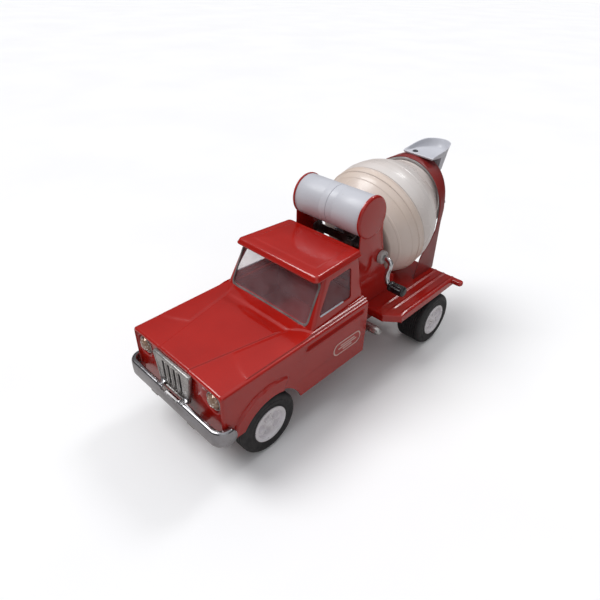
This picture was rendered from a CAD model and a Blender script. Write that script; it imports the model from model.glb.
import math

import bpy
from mathutils import Matrix, Vector


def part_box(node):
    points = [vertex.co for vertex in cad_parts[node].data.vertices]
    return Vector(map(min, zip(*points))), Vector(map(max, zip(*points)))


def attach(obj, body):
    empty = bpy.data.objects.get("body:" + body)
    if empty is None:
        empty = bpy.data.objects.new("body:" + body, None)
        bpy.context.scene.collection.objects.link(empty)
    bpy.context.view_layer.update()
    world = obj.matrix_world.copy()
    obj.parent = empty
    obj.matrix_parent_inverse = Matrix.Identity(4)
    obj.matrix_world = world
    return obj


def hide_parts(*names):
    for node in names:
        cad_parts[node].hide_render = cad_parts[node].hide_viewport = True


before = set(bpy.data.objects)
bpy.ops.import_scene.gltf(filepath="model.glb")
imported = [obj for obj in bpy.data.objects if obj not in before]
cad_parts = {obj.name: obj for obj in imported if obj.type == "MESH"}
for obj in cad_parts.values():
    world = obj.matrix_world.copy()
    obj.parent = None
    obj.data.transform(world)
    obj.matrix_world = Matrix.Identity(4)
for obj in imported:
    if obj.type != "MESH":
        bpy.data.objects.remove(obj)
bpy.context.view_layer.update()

# The toy is described in millimetres with y = 0 midway between the axles, +X its left and -Y forward.
MM = 0.001
AXLE_Y = 124.2
TYRE_R = 31.75
front_axle_low, front_axle_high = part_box("front_axle")
SHIFT = (front_axle_low.y + front_axle_high.y) / 2 + AXLE_Y * MM

SHEET = 1.2
WELD_GAP = 0.01
CAB_FRONT_Y = -177.0
CAB_REAR_Y = 9.0
CAB_HALF = 65.0
COWL_Y = -72.0
HOOD_FRONT_Z = 102.6
BELT_Z = 106.0
WALL_BASE_Z, WALL_TOP_Z = 103.0, 152.5
DECK_TOP = 79.2
PLATE_OUT = 43.4
TANK_Y, TANK_Z, TANK_R = 30.1, 181.2, 21.0
ARCH_HALF, ARCH_CENTRE_Z = 52.0, 151.0
DRUM_TILT = math.radians(14.5)
DRUM_AXIS = Vector((0, math.cos(DRUM_TILT), math.sin(DRUM_TILT)))
DRUM_SEAM = Vector((0, 99.0, 143.0))
CRANK_POINT = DRUM_SEAM + DRUM_AXIS * -48.5
CRANK_LEAN = math.radians(11.4)
CRANK_OUT = Vector((0, -math.sin(CRANK_LEAN), -math.cos(CRANK_LEAN)))
CRANK_THROW = 25.9
X_AXIS = Vector((1, 0, 0))
Z_AXIS = Vector((0, 0, 1))
SIDES = ((1, "left"), (-1, "right"))
OPEN = (False, False)


# ---- numbers

def mix(a, b, t):
    return a + (b - a) * t


def step(value, start, end):
    """0 before start, 1 after end and smooth between."""
    t = min(max((value - start) / (end - start), 0.0), 1.0)
    return t * t * (3 - 2 * t)


def bump(value, centre, half_width):
    """1 at the centre, falling smoothly to 0 at half_width either side."""
    return 1 - step(abs(value - centre), 0, half_width)


def spaced(start, end, count):
    return [mix(start, end, i / (count - 1)) for i in range(count)]


def table_value(table, key):
    """Straight-line reading of a short (key, value) table."""
    if key <= table[0][0]:
        return table[0][1]
    for (k0, v0), (k1, v1) in zip(table, table[1:]):
        if key <= k1:
            return mix(v0, v1, (key - k0) / (k1 - k0))
    return table[-1][1]


def smooth_path(points, steps):
    """Catmull-Rom curve through the points."""
    points = [Vector(p) for p in points]
    ends = [points[0] * 2 - points[1]] + points + [points[-1] * 2 - points[-2]]
    path = []
    for p0, p1, p2, p3 in zip(ends, ends[1:], ends[2:], ends[3:]):
        for i in range(steps):
            t = i / steps
            path.append(0.5 * (2 * p1 + (p2 - p0) * t + (2 * p0 - 5 * p1 + 4 * p2 - p3) * t ** 2
                               + (3 * p1 - p0 - 3 * p2 + p3) * t ** 3))
    return path + [points[-1]]


def rounded(corners, radius, steps=6):
    """Closed 2-D outline with its corners rounded; radius is one number or one per corner."""
    count = len(corners)
    radii = radius if isinstance(radius, (list, tuple)) else [radius] * count
    outline = []
    for i, corner in enumerate(corners):
        here = Vector(corner)
        before = (Vector(corners[i - 1]) - here).normalized()
        after = (Vector(corners[(i + 1) % count]) - here).normalized()
        half_angle = before.angle(after) / 2
        centre = here + (before + after).normalized() * radii[i] / math.sin(half_angle)
        first = here + before * radii[i] / math.tan(half_angle) - centre
        last = here + after * radii[i] / math.tan(half_angle) - centre
        start = math.atan2(first.y, first.x)
        turn = math.remainder(math.atan2(last.y, last.x) - start, math.tau)
        for angle in spaced(start, start + turn, steps + 1):
            outline.append((centre.x + radii[i] * math.cos(angle), centre.y + radii[i] * math.sin(angle)))
    return outline


def trapezium(first_half, last_half, first, last):
    """Corners of an outline that is symmetric about 0, from its half widths at both ends."""
    return [(-first_half, first), (first_half, first), (last_half, last), (-last_half, last)]


# ---- mesh building

def new_object(name, data):
    item = bpy.data.objects.new(name, data)
    bpy.context.collection.objects.link(item)
    return item


def new_mesh(name, points, faces):
    mesh = bpy.data.meshes.new(name)
    mesh.from_pydata([(p[0] * MM, p[1] * MM + SHIFT, p[2] * MM) for p in points], [], faces)
    return mesh


def add_piece(name, points, faces, finish, node=None, sharp=35.0, body="truck"):
    """One mesh object that rides on a body. finish is a name from FINISH, node a CAD node it replaces."""
    name = name.replace(" ", "_")
    mesh = new_mesh(name, points, faces)
    mesh.validate()
    material, record_slot = FINISH[finish]
    mesh.materials.append(material)
    mesh.polygons.foreach_set("use_smooth", [True] * len(mesh.polygons))
    mesh.update()
    piece = new_object(name, mesh)
    mesh.set_sharp_from_angle(angle=math.radians(sharp))
    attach(piece, body)
    if node:
        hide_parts(node)
    return piece


def settle(piece, sharp=35.0):
    """Applies the piece's modifiers and marks its sharp edges again."""
    evaluated = piece.evaluated_get(bpy.context.evaluated_depsgraph_get())
    mesh = bpy.data.meshes.new_from_object(evaluated)
    piece.modifiers.clear()
    piece.data = mesh
    mesh.set_sharp_from_angle(angle=math.radians(sharp))
    return piece


def skin(rings, wrap=True, caps=OPEN):
    """Points and quads between rings that have equal numbers of points."""
    count = len(rings[0])
    points = [p for ring in rings for p in ring]
    faces = []
    for r in range(len(rings) - 1):
        for i in range(count if wrap else count - 1):
            j = (i + 1) % count
            faces.append((r * count + i, r * count + j, (r + 1) * count + j, (r + 1) * count + i))
    if caps[0]:
        faces.append(tuple(reversed(range(count))))
    if caps[1]:
        last = (len(rings) - 1) * count
        faces.append(tuple(range(last, last + count)))
    return points, faces


def add_skin(name, rings, finish, node=None, sharp=35.0, body="truck", caps=(True, True)):
    """Piece whose surface runs over closed rings, with its ends capped or left open."""
    return add_piece(name, *skin(rings, caps=caps), finish, node, sharp, body)


def add_sheet(name, rings, facing, node=None, thickness=SHEET, sharp=35.0):
    """Red sheet over open rows of points, with its outer side facing the given way."""
    piece = add_piece(name, *skin(rings, wrap=False), "red", node)
    flip_to(piece, facing)
    return thicken(piece, thickness, sharp)


def circle(count):
    """Evenly spaced angles of one full turn."""
    return spaced(0, math.tau, count + 1)[:-1]


def lathe(name, profile, origin, axis, finish, node=None, steps=96, sharp=35.0, closed=False, body="truck"):
    """Piece turned about an axis, from (distance along the axis, radius) pairs.

    closed joins the profile's end to its start, otherwise both ends are capped."""
    axis = Vector(axis).normalized()
    side = axis.orthogonal().normalized()
    up = axis.cross(side)
    rings = []
    for along, radius in profile:
        centre = Vector(origin) + axis * along
        rings.append([centre + (side * math.cos(a) + up * math.sin(a)) * radius for a in circle(steps)])
    if closed:
        weld(add_skin(name, rings + rings[:1], finish, node, sharp, body, OPEN))
    else:
        add_skin(name, rings, finish, node, sharp, body)


def flip_to(piece, direction):
    """Turns the mesh inside out if its average face normal points away from direction."""
    total = sum((p.normal * p.area for p in piece.data.polygons), Vector())
    if total.dot(Vector(direction)) < 0:
        piece.data.flip_normals()


def flip_outward(piece):
    """Turns the mesh inside out if its faces point at its own middle."""
    mesh = piece.data
    middle = sum((v.co for v in mesh.vertices), Vector()) / len(mesh.vertices)
    facing = sum((p.center - middle).dot(p.normal) * p.area for p in mesh.polygons)
    if facing < 0:
        mesh.flip_normals()


def weld(piece):
    modifier = piece.modifiers.new("weld", "WELD")
    modifier.merge_threshold = WELD_GAP * MM
    return settle(piece)


def tube_rings(path, radius, steps=20):
    """Rings along a path; radius is a number or a function of the share of the path covered."""
    path = [Vector(p) for p in path]
    rings = []
    side = (path[1] - path[0]).orthogonal().normalized()
    for i, point in enumerate(path):
        ahead = (path[min(i + 1, len(path) - 1)] - path[max(i - 1, 0)]).normalized()
        side = (side - ahead * side.dot(ahead)).normalized()
        up = ahead.cross(side)
        size = radius(i / (len(path) - 1)) if callable(radius) else radius
        rings.append([point + (side * math.cos(a) + up * math.sin(a)) * size
                      for a in circle(steps)])
    return rings


def add_bevel(piece, width):
    modifier = piece.modifiers.new("bevel", "BEVEL")
    modifier.width = width * MM
    modifier.segments = 3
    modifier.limit_method = "ANGLE"
    modifier.angle_limit = math.radians(40)
    return settle(piece, 60.0)


def prism_rings(outline, place, low, high):
    """Both ends of a prism: a 2-D outline placed in space by place(a, b, depth)."""
    return [[place(a, b, depth) for a, b in outline] for depth in (low, high)]


def slab(name, outline, place, low, high, finish, node=None, bevel=0.5):
    """Flat plate of the truck, from low to high depth."""
    piece = add_skin(name, prism_rings(outline, place, low, high), finish, node)
    flip_outward(piece)
    return add_bevel(piece, bevel) if bevel else piece


def in_side_view(y, z, x):
    return x, y, z


def in_front_view(x, z, y):
    return x, y, z


def in_plan(x, y, z):
    return x, y, z


def cut(piece, cutters):
    """Takes the cutters' volumes out of the piece and removes them."""
    for prism in cutters:
        modifier = piece.modifiers.new("cut", "BOOLEAN")
        modifier.object = prism
        modifier.solver = "EXACT"
    settle(piece)
    for prism in cutters:
        bpy.data.objects.remove(prism)


def cutter(outline, place, low, high):
    """Loose prism for cut()."""
    points, faces = skin(prism_rings(outline, place, low, high), caps=(True, True))
    piece = new_object("cutter", new_mesh("cutter", points, faces))
    flip_outward(piece)
    return piece


def thicken(piece, thickness=SHEET, sharp=35.0):
    modifier = piece.modifiers.new("thickness", "SOLIDIFY")
    modifier.thickness = thickness * MM
    modifier.offset = -1
    modifier.use_even_offset = True
    return settle(piece, sharp)


# ---- materials

def new_material(name):
    material = bpy.data.materials.new(name)
    material.use_nodes = True
    tree = material.node_tree
    return material, tree, tree.nodes["Principled BSDF"]


def noise_value(tree, scale, low=0.35, high=0.65, detail=4.0, stretch=(1, 1, 1)):
    """Soft noise in object space, stretched to run from 0 to 1. Scale is in patches per metre."""
    where = tree.nodes.new("ShaderNodeTexCoord")
    mapping = tree.nodes.new("ShaderNodeMapping")
    mapping.inputs["Scale"].default_value = stretch
    noise = tree.nodes.new("ShaderNodeTexNoise")
    noise.inputs["Scale"].default_value = scale
    noise.inputs["Detail"].default_value = detail
    ramp = tree.nodes.new("ShaderNodeMapRange")
    ramp.inputs["From Min"].default_value = low
    ramp.inputs["From Max"].default_value = high
    tree.links.new(where.outputs["Object"], mapping.inputs["Vector"])
    tree.links.new(mapping.outputs["Vector"], noise.inputs["Vector"])
    tree.links.new(noise.outputs["Fac"], ramp.inputs["Value"])
    return ramp.outputs["Result"]


def mixed_colour(tree, factor, first, second):
    """Colour mix; first and second are colours or sockets."""
    node = tree.nodes.new("ShaderNodeMix")
    node.data_type = "RGBA"
    tree.links.new(factor, node.inputs["Factor"])
    for socket, value in ((node.inputs["A"], first), (node.inputs["B"], second)):
        if isinstance(value, tuple):
            socket.default_value = (*value, 1)
        else:
            tree.links.new(value, socket)
    return node.outputs["Result"]


def ranged(tree, factor, low, high):
    node = tree.nodes.new("ShaderNodeMapRange")
    node.inputs["To Min"].default_value = low
    node.inputs["To Max"].default_value = high
    tree.links.new(factor, node.inputs["Value"])
    return node.outputs["Result"]


def add_relief(tree, shader, height, strength):
    relief = tree.nodes.new("ShaderNodeBump")
    relief.inputs["Distance"].default_value = 0.0002
    relief.inputs["Strength"].default_value = strength
    tree.links.new(height, relief.inputs["Height"])
    tree.links.new(relief.outputs["Normal"], shader.inputs["Normal"])


def surface(name, colour, patch, rough, patch_scale=45, spots=None, grain=(900, 0.05), metallic=0.0,
            coat=0.0, stretch=(1, 1, 1)):
    """Finish with drifting colour and gloss, small spots of wear and a fine grain.

    colour and patch are the two colours that drift into each other, rough is the (low, high) roughness,
    spots is (colour, scale, threshold) and grain is (scale, strength)."""
    material, tree, shader = new_material(name)
    patches = noise_value(tree, patch_scale)
    shade = mixed_colour(tree, patches, colour, patch)
    if spots:
        spot_colour, spot_scale, threshold = spots
        wear = noise_value(tree, spot_scale, threshold, threshold + 0.03, 6.0)
        shade = mixed_colour(tree, wear, shade, spot_colour)
    tree.links.new(shade, shader.inputs["Base Color"])
    gloss = noise_value(tree, patch_scale * 2.3, 0.3, 0.7, 6.0, stretch)
    tree.links.new(ranged(tree, gloss, *rough), shader.inputs["Roughness"])
    add_relief(tree, shader, noise_value(tree, grain[0], 0.2, 0.8, 3.0, stretch), grain[1])
    shader.inputs["Metallic"].default_value = metallic
    shader.inputs["Coat Weight"].default_value = coat
    shader.inputs["Coat Roughness"].default_value = 0.06
    return material


def clear_plastic(name, tint, rough, clear):
    """Dusty clear moulding: mostly see-through, with a grey film that varies."""
    material, tree, shader = new_material(name)
    film = noise_value(tree, 60, 0.3, 0.75, 5.0)
    tree.links.new(mixed_colour(tree, film, tint, tuple(0.7 * c for c in tint)), shader.inputs["Base Color"])
    tree.links.new(ranged(tree, film, *rough), shader.inputs["Roughness"])
    tree.links.new(ranged(tree, film, *clear), shader.inputs["Alpha"])
    add_relief(tree, shader, noise_value(tree, 120, 0.2, 0.8, 2.0), 0.1)
    shader.inputs["IOR"].default_value = 1.49
    return material


# Every finish as (material, record slot).
FINISH = {
    "red": (surface("red enamel", (0.42, 0.011, 0.006), (0.38, 0.009, 0.005), (0.12, 0.24), 30,
        ((0.16, 0.02, 0.015), 420, 0.74), (1400, 0.05), coat=0.3), "red_enamel"),
    "dark_red": (surface("red enamel in the shade", (0.25, 0.014, 0.012), (0.20, 0.011, 0.010), (0.3, 0.5),
        30, ((0.10, 0.02, 0.015), 300, 0.66), (1400, 0.08), coat=0.15), "red_enamel"),
    "tyre": (surface("tyre rubber", (0.016, 0.016, 0.018), (0.026, 0.025, 0.026), (0.45, 0.7), 80,
        ((0.05, 0.047, 0.045), 500, 0.68), (1100, 0.25)), "tyre"),
    "hub": (surface("hub plastic", (0.86, 0.83, 0.87), (0.80, 0.77, 0.79), (0.28, 0.42), 90,
        ((0.25, 0.22, 0.2), 380, 0.68), (900, 0.08), coat=0.1), "hub_plastic"),
    "white": (surface("white plastic", (0.60, 0.61, 0.66), (0.56, 0.57, 0.62), (0.34, 0.48), 25,
        ((0.45, 0.42, 0.4), 520, 0.73), (1200, 0.03), coat=0.06), "white_plastic"),
    "ivory": (surface("ivory plastic", (0.76, 0.66, 0.60), (0.72, 0.60, 0.52), (0.25, 0.38), 22,
        ((0.42, 0.33, 0.25), 450, 0.72), (1000, 0.04), coat=0.15), "ivory_plastic"),
    "pale": (surface("whiter ivory plastic", (0.76, 0.72, 0.70), (0.72, 0.64, 0.60), (0.22, 0.34), 14,
        ((0.42, 0.35, 0.28), 450, 0.72), (1000, 0.04), coat=0.15), "ivory_plastic"),
    "chrome": (surface("chrome plate", (0.62, 0.62, 0.64), (0.50, 0.48, 0.49), (0.07, 0.2), 70,
        ((0.20, 0.18, 0.16), 650, 0.66), (1300, 0.06), metallic=1.0), "chrome"),
    "bright": (surface("satin chrome plate", (0.38, 0.38, 0.40), (0.30, 0.29, 0.30), (0.12, 0.26), 70,
        ((0.16, 0.14, 0.13), 650, 0.66), (1300, 0.06), metallic=1.0), "chrome"),
    "silver": (surface("bright stamped plate", (0.50, 0.49, 0.48), (0.38, 0.37, 0.36), (0.2, 0.4), 90,
        ((0.2, 0.18, 0.16), 700, 0.66), (1500, 0.08), metallic=0.9), "silver_plate"),
    "steel": (surface("plain steel", (0.36, 0.35, 0.34), (0.24, 0.23, 0.22), (0.3, 0.5), 120,
        ((0.12, 0.07, 0.05), 500, 0.62), (1600, 0.1), metallic=0.9, stretch=(0.2, 1, 1)), "bare_steel"),
    "grey": (surface("grey plastic", (0.42, 0.41, 0.41), (0.35, 0.34, 0.34), (0.3, 0.45), 90,
        ((0.15, 0.15, 0.15), 500, 0.7), (1200, 0.08)), "grey_plastic"),
    "grip": (surface("black grip", (0.004, 0.004, 0.005), (0.008, 0.008, 0.010), (0.18, 0.36), 120,
        ((0.03, 0.03, 0.03), 700, 0.72), (1500, 0.15), coat=0.2), "black_rubber"),
    "amber": (surface("amber jewel", (0.38, 0.24, 0.16), (0.20, 0.11, 0.07), (0.08, 0.2), 420,
        ((0.66, 0.58, 0.50), 700, 0.58), (900, 0.1), metallic=0.3, coat=0.8), "amber_lens"),
    "label": (surface("door label", (0.72, 0.50, 0.46), (0.66, 0.42, 0.38), (0.3, 0.45), 160,
        ((0.42, 0.10, 0.08), 500, 0.70), (900, 0.05), coat=0.2), "door_label"),
    "glass": (clear_plastic("clear moulding", (0.56, 0.36, 0.39), (0.05, 0.2), (0.16, 0.38)),
        "clear_plastic"),
    "rivet": (surface("dull rivet", (0.10, 0.11, 0.12), (0.05, 0.05, 0.06), (0.3, 0.5), 300,
        ((0.25, 0.25, 0.26), 700, 0.62), (1300, 0.1), metallic=0.8), "bare_steel"),
    "collar": (surface("collar plastic", (0.50, 0.47, 0.46), (0.42, 0.39, 0.38), (0.25, 0.4), 160,
        ((0.28, 0.26, 0.24), 600, 0.66), (1200, 0.06), coat=0.2), "grey_plastic"),
    "rim": (surface("moulding rim", (0.17, 0.13, 0.13), (0.26, 0.23, 0.23), (0.2, 0.35), 60,
        ((0.34, 0.32, 0.32), 400, 0.7), (1100, 0.04), metallic=0.2), "clear_plastic"),
}


# ---- wheels

def tyre(name, inner_x, outer_x, y, side, body, node):
    """Moulded tyre: rounded shoulders, ribbed tread and a raised ring on each side wall."""
    width = outer_x - inner_x
    bead_r, shoulder = 18.9, 4.6
    wall = [(0.9, bead_r), (0.4, bead_r + 1.2), (0.9, bead_r + 1.6), (0.4, bead_r + 5.2), (0.0, bead_r + 5.8),
            (0.0, bead_r + 6.9), (0.4, bead_r + 7.4)]
    turn = [(shoulder * (1 - math.cos(a)) + 0.2, TYRE_R - shoulder * (1 - math.sin(a)))
            for a in spaced(0.35, math.pi / 2, 9)]
    near = wall + turn
    tread = []
    ribs = max(3, round((width - 2 * shoulder) / 2.6))
    for i in range(ribs):
        start = mix(shoulder, width - shoulder, i / ribs) + 0.5
        end = mix(shoulder, width - shoulder, (i + 1) / ribs) - 0.5
        tread += [(start - 0.35, TYRE_R - 1.3), (start, TYRE_R), (end, TYRE_R), (end + 0.35, TYRE_R - 1.3)]
    far = [(width - along, radius) for along, radius in reversed(near)]
    profile = near + tread + far
    lathe(name, profile, (side * inner_x, y, TYRE_R), (side, 0, 0), "tyre", node, 120, 28.0, True, body)


def hub_depth(radius, angle):
    """How far the hub's face lies behind its rim: dished disc, five rounded pockets and a cap."""
    rim = step(radius, 14.6, 15.6)
    dish = mix(2.6, 0.2, rim) + 0.9 * bump(radius, 14.2, 0.9)
    sector = (angle * 5 / math.tau) % 1.0
    across = abs(sector - 0.5) * 2 * radius * math.pi / 5
    pocket = step(radius, 5.6, 6.6) * (1 - step(radius, 11.8, 12.8))
    pocket *= 1 - step(across, 0.30 * radius, 0.30 * radius + 1.3)
    boss = 1 - step(radius, 3.4, 4.8)
    cap = 1.3 * (1 - step(radius, 1.2, 2.4))
    return dish + 4.2 * pocket - 2.0 * boss - cap


def hub(name, inner_x, outer_x, y, side, body, node):
    """White wheel centre, with its pressed face outside and a plain closed back."""
    radii = spaced(0.05, 18.4, 56)
    steps = 150
    outer = [[(side * (outer_x - hub_depth(r, a)), y + r * math.cos(a), TYRE_R + r * math.sin(a))
              for a in circle(steps)] for r in radii]
    edge = [(outer_x - 0.5, 18.8), (inner_x + 0.5, 18.8), (inner_x + 0.9, 18.0), (inner_x + 2.5, 12.0),
            (inner_x + 2.5, 0.05)]
    back = [[(side * x, y + r * math.cos(a), TYRE_R + r * math.sin(a))
             for a in circle(steps)] for x, r in edge]
    add_skin(name, outer + back, "hub", node, 40.0, body)


def add_wheels():
    for side, word in SIDES:
        tyre(f"front tyre {word}", 45.3, 63.3, -AXLE_Y, side, "front_wheels", f"front_tyre_{word}")
        hub(f"front hub {word}", 45.3, 63.6, -AXLE_Y, side, "front_wheels", f"front_hub_{word}")
        tyre(f"rear tyre {word}", 50.5, 82.9, AXLE_Y, side, "rear_wheels", f"rear_tyre_{word}")
        hub(f"rear hub {word}", 50.5, 83.2, AXLE_Y, side, "rear_wheels", f"rear_hub_{word}")


# ---- deck

DECK_HALF = 84.5
DECK_REAR_Y = 153.0
DECK_BEND, DECK_SKIRT = 1.8, 8.0
RIDGES = (58.6, 69.3, 81.3)


def deck_front_y(x):
    """Front edge of the deck: straight across, then angled back at each side."""
    return mix(30.6, 43.9, max(0.0, (abs(x) - 69.3) / (DECK_HALF - 69.3)))


def fold(over):
    """How far the deck's bent edge reaches out and drops at a distance past the start of the bend."""
    over = max(over, 0.0)
    angle = min(over / DECK_BEND, math.pi / 2)
    drop = DECK_BEND * (1 - math.cos(angle)) + max(0.0, over - DECK_BEND * math.pi / 2)
    return DECK_BEND * math.sin(angle), drop


def deck_point(across, along):
    """across runs over the skirts from right to left, along over the front flange to the rear."""
    bend_x = DECK_HALF - DECK_BEND
    reach, drop = fold(abs(across) - bend_x)
    x = math.copysign(min(abs(across), bend_x) + reach, across)
    front_reach, front_drop = fold(-along)
    y = mix(deck_front_y(x) + DECK_BEND, DECK_REAR_Y, max(along, 0.0)) - front_reach
    ridge = max(max(0.0, 1 - abs(abs(x) - r) / 2.3) for r in RIDGES) * step(y, 44, 52)
    z = DECK_TOP + 0.86 * ridge - max(drop, front_drop)
    return x, y, max(z, DECK_TOP - DECK_SKIRT)


def add_deck():
    bend_length = DECK_BEND * math.pi / 2
    bend_x = DECK_HALF - DECK_BEND
    flat = DECK_SKIRT - DECK_BEND
    half = [0.0, 20.0, 40.0, 52.0] + spaced(56.0, bend_x, 62)
    half += [bend_x + bend_length * k / 6 for k in range(1, 7)]
    half += [bend_x + bend_length + k for k in (2, 4, flat)]
    across = [-v for v in reversed(half[1:])] + half
    along = [-bend_length - flat, -bend_length - 3] + [-bend_length * k / 6 for k in range(6, 0, -1)]
    along += [0.0, 0.04, 0.08, 0.12, 0.16] + spaced(0.2, 1.0, 12)
    rings = [[deck_point(a, b) for a in across] for b in along]
    add_sheet("deck", rings, Z_AXIS, "flatbed")
    outline = rounded(trapezium(96.0, 96.0, 146.5, 155.0), 4.0)
    slab("rear sill", outline, in_plan, 73.4, 78.8, "red", "rear_sill", 1.6)


# ---- cab

SIDE_ROWS = 64


def shoulder_z(y):
    return mix(HOOD_FRONT_Z, BELT_Z, (y - CAB_FRONT_Y) / (CAB_REAR_Y - CAB_FRONT_Y))


def crease_x(y):
    """Half width of the hood's raised centre panel, which spreads to the rear."""
    return 20.6 + 0.21 * (min(y, COWL_Y) - CAB_FRONT_Y)


def hood_columns(y, reach):
    """Points across the hood, with some that follow the crease so that it stays a clean line."""
    crease = crease_x(y)
    stops = ((0.0, 12), (crease - 1.0, 8), (crease + 1.2, 8), (crease + 5.4, 10), (56.0, 14), (reach, 0))
    half = []
    for (start, count), (end, _) in zip(stops, stops[1:]):
        half += spaced(start, end, count + 1)[:-1]
    half.append(reach)
    return [-x for x in reversed(half[1:])] + half


def hood_z(x, y):
    """Top of the hood and cowl: crowned, with a raised centre panel and a plinth for the windshield."""
    x = abs(x)
    along = min(max((y - CAB_FRONT_Y) / (COWL_Y - CAB_FRONT_Y), 0.0), 1.0)
    crown = mix(1.6, 2.9, along) * (1 - (x / CAB_HALF) ** 4)
    crease = crease_x(y)
    panel = 1.0 * (1 - step(x, crease - 0.6, crease + 0.8)) * (1 - step(y, -96, -86))
    fender_edge = -150.0 + 14.0 * step(x, 60, 20)
    fender = 0.8 * step(x, crease + 1, crease + 5) * step(y, fender_edge, fender_edge + 4)
    plinth_y = -84.5 + 12.0 * step(x, 38, 58)
    plinth = 1.0 * step(y, plinth_y, plinth_y + 2.5) * (1 - step(x, 57.5, 60.5))
    ridge = 1.3 * bump(x, 61.4, 1.2) * step(y, -80, -72)
    return shoulder_z(y) + crown + panel + fender + plinth + ridge


def opening_z(y):
    """Lower edge of the cab's side: wheel opening, then the door's bottom."""
    edge = table_value(((-177.0, 52.0), (-158.0, 52.0), (-100.0, 43.0), (9.0, 43.0)), y)
    reach = 38.5 ** 2 - (y + AXLE_Y) ** 2
    return max(edge, TYRE_R + math.sqrt(reach)) if reach > 0 else edge


def side_x(y, z):
    """Cab side: flat sheet with a flare round the wheel and pressed lines along the top of the door."""
    radius = math.hypot(y + AXLE_Y, z - TYRE_R)
    angle = math.degrees(math.atan2(z - TYRE_R, y + AXLE_Y))
    flare = 2.2 * (1 - step(radius, 51.0, 52.4)) * step(angle, 66, 70)
    below = shoulder_z(y) - z
    lines = 0.8 * bump(below, 6.4, 1.4) - 1.1 * bump(below, 8.9, 1.4) + 0.7 * bump(below, 11.4, 1.4)
    lines *= step(y, -86, -78) * (1 - step(y, 0.0, 4.0))
    swell = 0.4 * step(z, 62, 66) * step(below, 12.0, 16.0) * step(y, -100, -90)
    return CAB_HALF - 0.3 + flare + lines + swell


def front_y(x, z):
    """Cab's front panel: a shallow dish round each headlight and a recess under the hood's edge."""
    lamp = math.hypot(abs(x) - 50.0, z - 89.0)
    dish = 3.4 * (1 - step(lamp, 9.2, 12.2))
    lip = 1.9 * (1 - step(z, 98.9, 100.7)) * (1 - step(abs(x), 61, 63.5))
    return CAB_FRONT_Y + dish + lip


def body_section(y, inset):
    """Points of one cross-section, up the truck's right side, over the hood and down its left side."""
    round_r = 2.6
    turns = 6
    top_z = shoulder_z(y) - round_r - inset
    base = opening_z(y)
    half = CAB_HALF - 0.3 - inset
    right = []
    for t in spaced(0, 1, SIDE_ROWS):
        z = mix(base, top_z, 1 - (1 - t) ** 1.5)
        right.append((side_x(y, z) - inset, z))
    for k in range(1, turns + 1):
        angle = math.pi / 2 * k / turns
        right.append((half - round_r * (1 - math.cos(angle)), top_z + round_r * math.sin(angle)))
    reach = half - round_r
    top = [(x, hood_z(x, y) - inset) for x in hood_columns(y, reach)]
    return [(-x, z) for x, z in right] + top[1:-1] + [(x, z) for x, z in reversed(right)]


def panel_rings(section, y_at, base, count):
    """Fills the end of the body between its top edge and a straight bottom edge at height base."""
    top = section[SIDE_ROWS - 1:len(section) - SIDE_ROWS + 1]
    rings = []
    for t in spaced(0, 1, count):
        row = [(x, mix(base, z, t)) for x, z in top]
        rings.append([(x, y_at(x, z), z) for x, z in row])
    return rings


def add_cab_body():
    """Hood, fenders, doors and cowl as one sheet, with rounded front edges and an opening under the roof."""
    round_r = 2.4
    turn = [(CAB_FRONT_Y + round_r * (1 - math.sin(a)), round_r * (1 - math.cos(a)))
            for a in spaced(math.pi / 2, 0, 6)]
    stations = turn[:-1] + [(y, 0.0) for y in spaced(CAB_FRONT_Y + round_r, -88.0, 76)]
    stations += [(y, 0.0) for y in spaced(-87.0, CAB_REAR_Y - 1.2, 70)] + [(CAB_REAR_Y, 1.0)]
    rings = [[(x, y, z) for x, z in body_section(y, inset)] for y, inset in stations]
    body = add_sheet("cab body", rings, Z_AXIS, "cab_shell")
    cut(body, [cutter(plan_outline(54.0, 52.0, -66.0, 5.0, 5.0), in_plan, 98.0, 120.0)])

    rings = panel_rings(body_section(CAB_FRONT_Y + 0.01, round_r), front_y, 52.0, 46)
    add_sheet("cab front", rings, (0, -1, 0), None, 0.8, 50.0)
    rings = panel_rings(body_section(CAB_REAR_Y, 1.0), lambda x, z: CAB_REAR_Y - 0.2, 43.0, 12)
    add_sheet("cab back", rings, (0, 1, 0))


def plan_outline(front_half, rear_half, front, rear, radius):
    return rounded(trapezium(front_half, rear_half, front, rear), radius, 7)


def wall_edges(z):
    """Front half width, rear half width, front y and rear y of the cab's upper walls, which lean inwards."""
    lean = (z - WALL_BASE_Z) / 45.0
    return 60.5 - 6.0 * lean, 58.5 - 8.5 * lean, COWL_Y + 21.0 * lean, CAB_REAR_Y - 2.0 * lean


def greenhouse_ring(share, inset):
    """Outline of the cab's upper walls; share runs from the belt to the roof."""
    z = mix(WALL_BASE_Z, WALL_TOP_Z, share)
    front_half, rear_half, front, rear = wall_edges(z)
    outline = plan_outline(front_half - inset, rear_half - inset, front + inset, rear - inset, 5.0 - inset)
    return [(x, y, z) for x, y in outline]


WINDSHIELD = trapezium(52.4, 52.0, 108.2, 147.0)
SIDE_WINDOW = ((-60.5, 115.6), (-11.5, 115.6), (-8.0, 146.0), (-41.0, 146.0))
REAR_WINDOW = trapezium(38.0, 35.0, 117.0, 142.0)


def add_greenhouse():
    """Upper cab walls with their window openings, and the trim round the windshield."""
    rings = [greenhouse_ring(s, 0.0) for s in spaced(0, 1, 12)]
    walls = add_skin("upper cab", rings, "red", caps=OPEN)
    flip_outward(walls)
    thicken(walls)
    cut(walls, [
        cutter(rounded(WINDSHIELD, 6.0), in_front_view, -85.0, -42.0),
        cutter(rounded(SIDE_WINDOW, 3.0), in_side_view, -70.0, 70.0),
        cutter(rounded(REAR_WINDOW, 4.0), in_front_view, 0.0, 15.0),
    ])
    add_windshield_trim()
    add_side_window_trim()


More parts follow.
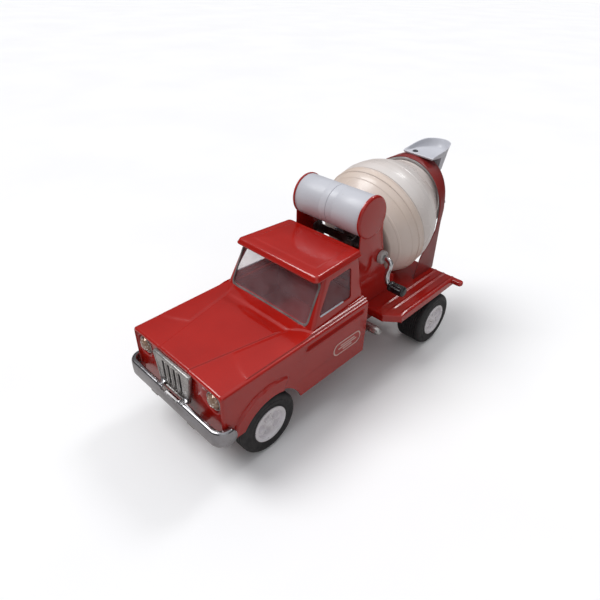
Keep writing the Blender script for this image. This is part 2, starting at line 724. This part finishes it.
def add_windshield_trim():
    """Grey rim of the clear moulding, pressed round the windshield opening."""
    outer = rounded(trapezium(53.6, 52.4, 107.0, 149.4), 7.0, 8)
    inner = rounded(trapezium(51.6, 50.8, 109.0, 147.6), 5.4, 8)
    layers = [(outer, 0.6), (outer, -0.3), (inner, -0.6), (inner, 1.2)]
    rings = [[(x, wall_edges(z)[2] + depth, z) for x, z in outline] for outline, depth in layers]
    trim = add_skin("windshield rim", rings + rings[:1], "rim", caps=OPEN)
    flip_outward(weld(trim))


def side_wall_x(y, z):
    """Half width of the upper cab's side at a point of its side view."""
    front_half, rear_half, front, rear = wall_edges(z)
    return mix(front_half, rear_half, (y - front) / (rear - front))


def add_side_window_trim():
    """Edge of the clear moulding that shows white along the sill of each side window."""
    for side, word in reversed(SIDES):
        sill = [(side * (side_wall_x(y, 116.0) - 0.9), y, 116.0) for y in spaced(-58.0, -23.0, 12)]
        add_skin(f"side window sill {word}", tube_rings(sill, 0.8, 12), "white")


def add_window_glazing():
    """Clear moulding that lines the upper cab."""
    rings = [greenhouse_ring(s, 1.45) for s in spaced(0.10, 0.92, 8)]
    flip_outward(add_skin("window moulding", rings, "glass", "window_glazing", caps=OPEN))


def roof_ring(inset, z):
    outline = plan_outline(54.9 - inset, 50.6 - inset, -60.6 + inset, 10.9 - 0.6 * inset,
                           max(5.0 - 0.6 * inset, 1.5))
    return [(x, y, z) for x, y in outline]


def add_roof():
    """Roof pressing: rolled drip edge, crowned top and a faint raised panel."""
    rolled = [(2.6, 151.6), (1.0, 150.7), (0.2, 150.9), (0.0, 151.6), (0.3, 152.4), (0.9, 152.8),
              (1.1, 153.6), (1.9, 155.0), (2.8, 155.9), (3.8, 156.3), (5.2, 156.5)]
    rings = [roof_ring(inset, z) for inset, z in rolled]
    for inset in spaced(7.0, 30.0, 36):
        crown = 156.6 + 0.7 * step(inset, 8, 26) + 0.45 * step(inset, 12.0, 14.0)
        rings.append(roof_ring(inset, crown))
    top = add_skin("roof", rings, "red", sharp=45.0, caps=(False, True))
    flip_to(top, Z_AXIS)
    under = [roof_ring(2.6, 151.6), roof_ring(9.0, 151.9)]
    add_skin("roof underside", under, "dark_red", caps=OPEN)


def add_cab():
    add_cab_body()
    add_greenhouse()
    add_window_glazing()
    add_roof()


# ---- front trim

def add_grille():
    """Tapered plate with a raised border, four slots and two bright feet on the bumper."""
    y_face = CAB_FRONT_Y - 4.0
    outline = rounded(trapezium(20.2, 26.6, 66.5, 101.5), 1.5)
    plate = slab("grille", outline, in_front_view, y_face + 0.8, CAB_FRONT_Y, "silver", "grille", 0.6)
    slot_x = (-12.0, -4.0, 4.0, 12.0)
    slots = [cutter(rounded([(x - 1.6, 72.0), (x + 1.6, 72.0), (x + 1.6, 97.0), (x - 1.6, 97.0)], 1.4),
                    in_front_view, y_face - 2, CAB_FRONT_Y + 2) for x in slot_x]
    cut(plate, slots)
    border = rounded(trapezium(19.2, 25.6, 67.5, 100.5), 1.2, 4)
    rim_rings = tube_rings([(x, y_face + 0.9, z) for x, z in border], 0.8, 10)
    add_skin("grille border", rim_rings + rim_rings[:1], "silver", caps=OPEN)
    for i, x in enumerate((-8.0, 0.0, 8.0)):
        rib = tube_rings([(x, y_face + 0.8, z) for z in spaced(71.5, 97.0, 6)], 0.7, 10)
        add_skin(f"grille rib {i + 1}", rib, "silver")
    for side, word in SIDES:
        x = side * 17.0
        foot = rounded([(y_face + 1.2, 71.4), (y_face - 0.2, 70.4), (y_face - 4.6, 70.3),
                        (y_face - 4.6, 69.5), (y_face, 69.5), (y_face + 1.2, 68.2)], 0.35, 3)
        slab(f"grille foot {word}", foot, in_side_view, x - 2.8, x + 2.8, "bright", bevel=0.3)
    backing = rounded(trapezium(18.0, 18.0, 70.0, 98.0), 1.0)
    slab("grille backing", backing, in_front_view, CAB_FRONT_Y - 0.9, CAB_FRONT_Y - 0.1, "grip", bevel=0)


def add_headlights():
    """Faceted jewel in a thin rim at the bottom of a shallow dish on each side."""
    facets = 14
    jewel = ((0.4, 7.7), (1.8, 7.5), (3.3, 6.5), (4.4, 4.9), (5.1, 2.8), (5.4, 0.4))
    for side, word in SIDES:
        centre = (side * 50.0, CAB_FRONT_Y + 4.1, 89.0)
        rim = [(0.0, 7.5), (1.0, 7.5), (1.7, 7.9), (1.9, 8.4), (1.5, 8.9), (0.0, 9.1)]
        lathe(f"headlight rim {word}", rim, centre, (0, -1, 0), "silver", steps=64, closed=True)
        rings = []
        for i, (depth, radius) in enumerate(jewel):
            turn = (i % 2) * math.pi / facets
            rings.append([(centre[0] + radius * math.cos(a + turn), centre[1] - depth,
                           centre[2] + radius * math.sin(a + turn))
                          for a in circle(facets)])
        points, faces = skin(rings, caps=(True, True))
        triangles = []
        for face in faces:
            triangles += [face[:3], (face[0], face[2], face[3])] if len(face) == 4 else [face]
        node = "headlight_lenses" if side > 0 else None
        add_piece(f"headlight jewel {word}", points, triangles, "amber", node, 1.0)


def add_bumper():
    """Bright channel that wraps round the front corners, with rounded ends and a gap at the grille."""
    half, front, bend, end_y = 70.7, -186.8, 13.0, -168.5
    middle, end_round = 61.2, 5.0
    right = [(half, y) for y in spaced(end_y, front + bend, 18)]
    right += [(half - bend * (1 - math.cos(a)), front + bend * (1 - math.sin(a)))
              for a in spaced(0, math.pi / 2, 14)[1:]]
    path = [Vector(p) for p in right + [(-x, y) for x, y in reversed(right)]]
    section = [(-5.0, 7.9), (-4.2, 8.7), (-2.6, 8.7), (-1.2, 8.4), (-0.4, 7.6), (0.0, 6.4), (0.2, 0.0),
               (0.0, -6.0), (-0.4, -7.4), (-1.2, -8.4), (-2.6, -8.7), (-3.4, -8.3), (-2.4, -7.4),
               (-1.3, -6.0), (-1.1, 0.0), (-1.3, 6.2), (-2.0, 7.4), (-4.4, 7.5)]
    rings = []
    for before, here, after in zip(path[:1] + path, path, path[1:] + path[-1:]):
        ahead = (after - before).normalized()
        outward = Vector((-ahead.y, ahead.x))
        from_end = max(end_y - here.y, 0.0) if abs(here.x) > half - 0.1 else end_round
        share = min(from_end / end_round, 1.0)
        squeeze = math.sqrt(max(0.2, 1 - (1 - share) ** 2))
        rings.append([(here.x + outward.x * out, here.y + outward.y * out, middle + up * squeeze)
                      for out, up in section])
    bumper = add_skin("bumper", rings, "bright", "front_bumper", 40.0)
    flip_outward(bumper)
    gap = rounded(trapezium(12.5, 12.5, -190.0, -178.0), 1.0)
    cut(bumper, [cutter(gap, in_plan, 67.3, 75.0)])


def add_door_marks():
    """Plain pill-shaped label: pale border, red field and three pale bars, no lettering."""
    middle_y, middle_z = -22.0, 70.0
    face = CAB_HALF + 0.2

    def patch(name, side, half_length, half_height, rise, radius, low, high, finish, node=None):
        front, rear = middle_y - half_length, middle_y + half_length
        bottom, top = middle_z + rise - half_height, middle_z + rise + half_height
        outline = rounded([(front, bottom), (rear, bottom), (rear, top), (front, top)], radius, 8)
        depths = sorted((side * (face + low), side * (face + high)))
        slab(name, outline, in_side_view, *depths, finish, node, 0)

    for side, word in SIDES:
        node = "door_marks" if side > 0 else None
        patch(f"door label {word}", side, 20.8, 7.4, 0, 7.3, 0.0, 0.2, "label", node)
        patch(f"door label field {word}", side, 19.3, 5.9, 0, 5.8, 0.2, 0.3, "red")
        for i, (half_length, rise) in enumerate(((11.0, 2.9), (14.0, 0.0), (7.0, -2.9))):
            patch(f"door label bar {word} {i + 1}", side, half_length, 0.75, rise, 0.7, 0.3, 0.4, "label")


def add_exhaust():
    profile = [(0.0, 4.4), (0.3, 4.5), (34.0, 4.5), (37.0, 4.2), (39.2, 3.2), (40.4, 1.8), (40.8, 0.1)]
    lathe("exhaust pipe", profile, (37.0, 17.5, 68.0), (1, 0, 0), "silver", "exhaust_pipe", 48)


# ---- pedestal and tank

def add_pedestal():
    """Two side plates with round ears, joined by a front web."""
    outline = [(14.0, DECK_TOP), (86.0, DECK_TOP), (84.0, 96.0), (70.0, 104.0), (60.0, 118.0), (56.0, 139.0),
               (50.7, 160.0), (49.8, 172.0), (30.0, 181.0), (14.0, 170.0)]
    smooth = rounded(outline, [0.5, 0.5, 3.0, 8.0, 12.0, 20.0, 14.0, 4.0, 4.0, 3.0])
    for side, word in SIDES:
        low, high = sorted((side * (PLATE_OUT - 1.6), side * (PLATE_OUT - 0.3)))
        node = "drum_pedestal" if side > 0 else None
        slab(f"pedestal plate {word}", smooth, in_side_view, low, high, "red", node, 0.4)
        ear = [(-2.4, 21.1), (-2.4, 21.7), (-2.0, 22.0), (-1.2, 22.0), (-0.4, 21.7), (0.3, 21.1),
               (0.8, 20.2), (1.0, 19.0), (1.0, 0.1)]
        lathe(f"tank ear {word}", ear, (side * (PLATE_OUT - 0.1), TANK_Y, TANK_Z), (side, 0, 0), "red")
    web = rounded(trapezium(42.0, 42.0, DECK_TOP, 138.0), [0.3, 0.3, 3.0, 3.0])
    slab("pedestal web", web, in_front_view, 14.0, 15.2, "dark_red", bevel=0.3)


def add_tank():
    """White tank in two halves that meet at a seam, with a moulding line near the seam."""
    for side, word in SIDES:
        profile = [(0.15, TANK_R - 1.4), (0.15, TANK_R - 0.25), (0.45, TANK_R), (8.0, TANK_R),
                   (8.15, TANK_R - 0.06), (8.3, TANK_R), (41.2, TANK_R), (41.6, TANK_R - 0.2), (41.6, 0.1)]
        lathe(f"tank half {word}", profile, (0, TANK_Y, TANK_Z), (side, 0, 0), "white", f"tank_half_{word}",
              128, 30.0)


# ---- drum and drive

def drum_profile(points, details, start, end, count):
    """Evenly read smooth profile plus small raised or sunken bands."""
    curve = smooth_path([(s, r, 0) for s, r in points], 24)
    table = [(p.x, p.y) for p in curve]
    profile = []
    for s in spaced(start, end, count):
        radius = table_value(table, s)
        radius += sum(height * step(s, at - width, at + width) for at, width, height in details)
        profile.append((s, radius))
    return profile


def add_drum():
    front = ((-36.0, 45.4), (-28.0, 52.6), (-14.0, 60.8), (0.0, 64.0))
    rear = ((0.0, 64.0), (12.0, 64.2), (24.0, 61.4), (36.0, 55.8), (48.0, 48.8), (58.0, 43.2), (64.0, 41.2),
            (70.0, 40.6))
    front_bands = ((-29.0, 0.3, 0.5), (-27.2, 0.3, -0.4), (-16.0, 0.5, 0.4), (-8.6, 0.4, 1.1),
                   (-6.6, 0.4, -1.5), (-2.0, 0.4, 0.4))
    outer = drum_profile(front, front_bands, -35.2, -0.9, 190)
    lip = [(-0.35, outer[-1][1] - 0.7), (-0.2, outer[-1][1] - 2.2)]
    cap = [(-35.6, 0.1), (-35.6, 25.0), (-35.2, 27.0), (-35.2, 40.0), (-35.9, 43.0), (-35.9, 44.4)]
    inner = [(s, r - 2.2) for s, r in reversed(outer[8::8])] + [(-33.6, 42.0), (-33.6, 0.1)]
    lathe("drum front", cap + outer + lip + inner, DRUM_SEAM, DRUM_AXIS, "ivory", "drum_front_shell",
          144, 24.0, body="drum")
    rear_bands = ((12.0, 0.3, -0.35), (27.0, 0.3, 0.35), (46.0, 0.3, -0.4), (60.0, 0.4, 0.5))
    outer = drum_profile(rear, rear_bands, 0.9, 69.2, 150)
    start = [(0.2, 61.8), (0.35, outer[0][1] - 0.7)]
    mouth = [(69.8, 40.4), (70.0, 39.9), (69.9, 39.2)]
    inner = [(s, r - 1.7) for s, r in reversed(outer[6::6])]
    lathe("drum rear", start + outer + mouth + inner, DRUM_SEAM, DRUM_AXIS, "pale", "drum_rear_shell",
          144, 24.0, True, "drum")


def add_crank():
    """Bent wire crank, its ribbed grip and the collar it turns in."""
    knees = ((10.0, 0.0), (30.0, 0.0), (47.0, 0.0), (52.5, 0.2), (56.3, 2.6), (57.3, 7.0), (56.2, 12.5),
             (56.4, 18.0), (58.0, 23.0), (61.0, 25.7), (64.0, CRANK_THROW), (79.0, CRANK_THROW))
    path = smooth_path([CRANK_POINT + X_AXIS * x + CRANK_OUT * r for x, r in knees], 8)
    add_skin("crank", tube_rings(path, 2.9, 24), "chrome", "crank_rod", body="crank")
    add_grip()
    collar = [(-3.0, 3.1), (-3.0, 4.9), (0.1, 4.9), (0.1, 6.9), (0.5, 7.2), (3.6, 7.2), (4.6, 6.8),
              (5.0, 6.1), (5.0, 5.2), (4.4, 4.6), (4.4, 3.1)]
    lathe("crank collar", collar, CRANK_POINT + X_AXIS * PLATE_OUT, X_AXIS, "collar", "crank_bushing",
          64, 30.0, True)


def add_grip():
    """Fluted knob with a waist near each end, open where the pin enters."""
    centre = CRANK_POINT + CRANK_OUT * CRANK_THROW
    flutes = 9
    outline = ((61.8, 3.1), (61.8, 4.2), (62.2, 5.2), (63.2, 5.6), (64.8, 5.7), (65.8, 5.1), (66.8, 5.7),
               (76.6, 5.8), (77.7, 5.3), (78.8, 5.6), (80.0, 5.0), (80.7, 3.8), (80.95, 1.8), (81.0, 0.1))
    rings = []
    side, up = CRANK_OUT, X_AXIS.cross(CRANK_OUT)
    for x, radius in outline:
        depth = 0.8 if 66.5 < x < 77.0 else 0.0
        rings.append([centre + X_AXIS * x + (side * math.cos(a) + up * math.sin(a))
                      * (radius - depth * (0.5 + 0.5 * math.cos(flutes * a)))
                      for a in circle(108)])
    add_skin("crank grip", rings, "grip", "crank_grip", 40.0, "grip", (False, True))


# ---- arch and hopper

ARCH_REAR = ((79.2, 157.0), (140.0, 155.5), (163.0, 158.0), (184.0, 166.5), (204.0, 174.5))
ARCH_FRONT = ((79.2, 114.5), (92.0, 117.5), (106.0, 122.5), (120.0, 138.0), (132.0, 146.0), (160.0, 147.0),
              (182.0, 148.0), (204.0, 150.0))


def add_arch():
    """Bent strip with its rear edge turned in; its feet widen forward along the deck."""
    half = ARCH_HALF
    path = [(half, z, 1.0, 0.0) for z in spaced(DECK_TOP, ARCH_CENTRE_Z, 40)]
    path += [(half * math.cos(a), ARCH_CENTRE_Z + half * math.sin(a), math.cos(a), math.sin(a))
             for a in spaced(0, math.pi, 74)[1:-1]]
    path += [(-half, z, -1.0, 0.0) for z in spaced(ARCH_CENTRE_Z, DECK_TOP, 40)]
    rings = []
    for x, z, out_x, out_z in path:
        front, rear = table_value(ARCH_FRONT, z), table_value(ARCH_REAR, z)
        section = [(1.2, front + 0.5), (0.5, front), (0.0, front + 0.9)]
        section += [(0.0, y) for y in spaced(front + 2.0, rear - 2.4, 4)]
        section += [(0.25, rear - 1.0), (1.0, rear - 0.25), (2.2, rear), (4.2, rear), (4.4, rear - 0.9),
                    (2.4, rear - 1.1), (1.5, rear - 1.7)]
        section += [(1.2, rear - 3.0), (1.2, front + 2.0)]
        rings.append([(x - out_x * depth, y, z - out_z * depth) for depth, y in section])
    flip_outward(add_skin("rear arch", rings, "dark_red", "rear_arch", 40.0))


def d_outline(half, front, rear):
    """Closed plan outline with a straight front and a half-oval back, always the same point count."""
    side_y = max(front + 0.5, rear - 1.45 * half)
    arc = [(half * math.cos(a), side_y + (rear - side_y) * math.sin(a)) for a in spaced(0, math.pi, 28)]
    left = [(-half, y) for y in spaced(side_y, front, 9)[1:]]
    across = [(x, front) for x in spaced(-half, half, 9)[1:-1]]
    right = [(half, y) for y in spaced(front, side_y, 9)[:-1]]
    return arc + left + across + right


def scoop_rim(y):
    """Height of the hopper's rim above its floor, rising to the rear."""
    return 1.2 * step(y, -1.0, 2.0) + 7.6 * min(max(y / 36.0, 0.0), 1.0)


def add_hopper():
    """White scoop on the arch with a tapering chute behind it, and the rivet that holds it.

    A layer is half width, front y, rear y, height and how much it follows the rim."""
    floor, base = 204.4, 203.05
    layers = ((15.8, 20.0, 41.0, 202.0, 0.0), (15.6, 20.0, 38.4, 186.0, 0.0),
              (16.9, 18.6, 39.8, 185.8, 0.0), (19.4, 18.2, 44.2, 202.8, 0.0),
              (19.5, 0.3, 44.3, base, 0.0), (19.9, 0.0, 44.8, base + 0.5, 0.0),
              (20.2, 0.0, 45.8, floor, 0.4), (20.9, -0.2, 47.8, floor - 0.2, 1.0),
              (21.0, -0.3, 48.2, floor + 0.2, 1.0), (20.6, 0.1, 47.8, floor + 0.5, 1.0),
              (19.7, 0.7, 46.6, floor + 0.2, 1.0), (18.9, 0.9, 44.6, floor, 0.6),
              (18.0, 1.0, 42.6, floor, 0.15), (16.4, 1.4, 40.6, floor, 0.0))
    rings = [[(x, y, height + rise * scoop_rim(y)) for x, y in d_outline(half, front, rear)]
             for half, front, rear, height, rise in layers]
    turn, centre_x, front_y_edge = math.radians(-5.5), 5.6, 160.0
    placed = [[(centre_x + x * math.cos(turn) - y * math.sin(turn),
                front_y_edge + x * math.sin(turn) + y * math.cos(turn), z) for x, y, z in ring]
              for ring in rings]
    add_skin("hopper", placed, "white", "hopper", 40.0, "hopper")
    head = [(-0.05, 0.1), (-0.05, 3.1), (0.4, 3.2), (1.0, 2.9), (1.35, 2.0), (1.45, 0.1)]
    lathe("hopper rivet", head, (-4.0, 169.5, floor), Z_AXIS, "rivet", "hopper_rivet", 40)


# ---- the rest of the frame

def finish_frame_nodes():
    """Gives the CAD nodes that stay visible their finish."""
    chosen = {
        "steel": ("front_axle", "rear_axle", "front_axle_bracket", "rear_axle_bracket", "exhaust_bracket",
                  "bumper_brackets", "gear_bracket", "drum_shaft", "drum_shaft_clip"),
        "dark_red": ("chassis_frame",),
        "red": ("cab_floor",),
        "grey": ("drum_bearing_ring",),
        "white": ("drum_gear", "drive_pinion"),
    }
    for key, nodes in chosen.items():
        for node in nodes:
            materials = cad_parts[node].data.materials
            materials.clear()
            materials.append(FINISH[key][0])


# ---- stage

def add_floor():
    """Wide round floor; it looks pale to the camera and throws back less light than that."""
    radius, steps = 9.0, 96
    verts = [(radius * math.cos(a), radius * math.sin(a), 0.0) for a in circle(steps)]
    mesh = bpy.data.meshes.new("floor")
    mesh.from_pydata(verts, [], [tuple(range(steps))])
    material, tree, shader = new_material("studio paper")
    path = tree.nodes.new("ShaderNodeLightPath")
    seen = mixed_colour(tree, noise_value(tree, 3), (0.95, 0.95, 0.95), (0.92, 0.92, 0.93))
    colour = mixed_colour(tree, path.outputs["Is Camera Ray"], (0.52, 0.50, 0.49), seen)
    tree.links.new(colour, shader.inputs["Base Color"])
    shader.inputs["Roughness"].default_value = 0.9
    shader.inputs["Specular IOR Level"].default_value = 0.1
    mesh.materials.append(material)
    new_object("floor", mesh)


def add_sun(name, direction, strength, spread):
    """Soft light from far away; direction points from the toy to the light, spread is in degrees."""
    lamp = bpy.data.lights.new(name, "SUN")
    lamp.energy = strength
    lamp.angle = math.radians(spread)
    light = new_object(name, lamp)
    light.rotation_euler = Vector(direction).to_track_quat("Z", "Y").to_euler()


def add_lights():
    """Soft key, fill and rim lights, in a room whose light fades towards the horizon."""
    world = bpy.data.worlds.new("studio")
    world.use_nodes = True
    tree = world.node_tree
    where = tree.nodes.new("ShaderNodeTexCoord")
    split = tree.nodes.new("ShaderNodeSeparateXYZ")
    tree.links.new(where.outputs["Generated"], split.inputs["Vector"])
    height = tree.nodes.new("ShaderNodeMath")
    height.operation = "POWER"
    height.inputs[1].default_value = 2.6
    tree.links.new(split.outputs["Z"], height.inputs[0])
    background = tree.nodes["Background"]
    room = mixed_colour(tree, height.outputs["Value"], (0.058, 0.058, 0.06), (0.81, 0.815, 0.84))
    path = tree.nodes.new("ShaderNodeLightPath")
    colour = mixed_colour(tree, path.outputs["Is Camera Ray"], room, (1.0, 1.0, 1.0))
    tree.links.new(colour, background.inputs["Color"])
    background.inputs["Strength"].default_value = 1.0
    bpy.context.scene.world = world
    bpy.context.scene.view_settings.view_transform = "Standard"
    add_sun("key", (-0.42, -0.30, 0.86), 1.9, 32)
    add_sun("fill", (0.80, -0.45, 0.40), 0.40, 60)
    add_sun("rim", (0.02, 0.64, 0.77), 0.50, 14)


def add_camera():
    """Three-quarter view from the front left and above."""
    azimuth, elevation, roll = math.radians(43.2137), math.radians(34.5659), math.radians(1.4619)
    back = Vector((math.sin(azimuth) * math.cos(elevation), -math.cos(azimuth) * math.cos(elevation),
                   math.sin(elevation)))
    level_right = (-back).cross(Z_AXIS).normalized()
    level_up = level_right.cross(-back)
    right = level_right * math.cos(roll) + level_up * math.sin(roll)
    up = level_up * math.cos(roll) - level_right * math.sin(roll)
    lens = bpy.data.cameras.new("camera")
    lens.sensor_width = 36.0
    lens.lens = 29.261
    lens.clip_start = 0.01
    camera = new_object("camera", lens)
    location = Vector((287.7 * MM, -328.9 * MM + SHIFT, 379.6 * MM))
    turn = Matrix((right, up, back)).transposed()
    camera.matrix_world = Matrix.Translation(location) @ turn.to_4x4()
    bpy.context.scene.camera = camera


add_wheels()
add_deck()
add_cab()
add_grille()
add_headlights()
add_bumper()
add_door_marks()
add_exhaust()
add_pedestal()
add_tank()
add_drum()
add_crank()
add_arch()
add_hopper()
finish_frame_nodes()
add_floor()
add_lights()
add_camera()
